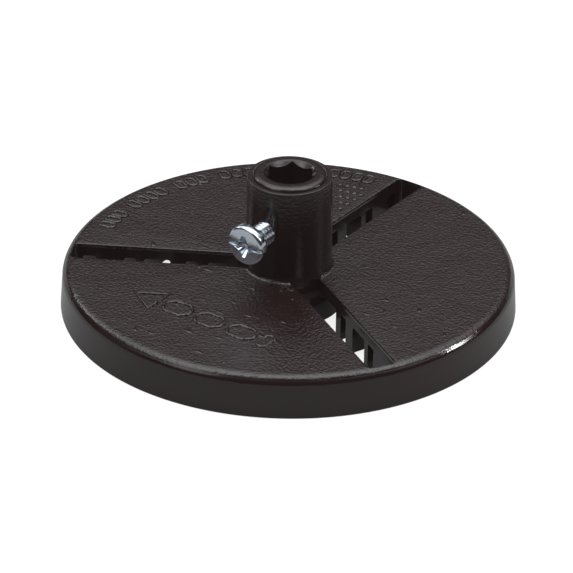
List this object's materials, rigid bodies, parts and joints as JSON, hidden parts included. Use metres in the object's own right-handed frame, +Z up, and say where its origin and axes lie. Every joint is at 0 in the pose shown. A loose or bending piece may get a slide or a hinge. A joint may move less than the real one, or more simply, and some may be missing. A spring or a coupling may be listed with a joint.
{
  "type": "hole saw holder plate",
  "caption": "Round cast holder plate with an upright hub, a hexagonal arbor socket, a side clamp screw, radial chip slots and ring grooves underneath.",
  "frame": {"origin": "centre of the underside, where the plate rests", "axes": "+Z up along the hub's axis, -Y towards the clamp screw's head"},
  "size_m": [0.111, 0.111, 0.0354],
  "materials": {
    "casting_black": "gloss black coating over a rough die casting",
    "screw_zinc": "blue-white zinc plating on steel"
  },
  "bodies": {
    "casting": {"web_plate": "casting_black", "rim": "casting_black", "inner_rib": "casting_black", "second_rib": "casting_black", "third_rib": "casting_black", "outer_rib": "casting_black", "hub": "casting_black"},
    "screw_thread": {"screw_point": "screw_zinc"},
    "screw": {"clamp_screw": "screw_zinc"}
  },
  "joints": [
    {"name": "screw_travel", "type": "slide", "parent": "casting", "child": "screw_thread", "axis": [0, -1, 0], "range_m": [-0.00501, 0.00301]},
    {"name": "screw_turn", "type": "hinge", "parent": "screw_thread", "child": "screw", "pos_m": [0, -0.016, 0.023], "axis": [0, -1, 0], "range_deg": [-1800, 1080]}
  ],
  "couplings": [
    {"joint": "screw_travel", "follows": "screw_turn", "m_per_rad": 0.00015915}
  ]
}
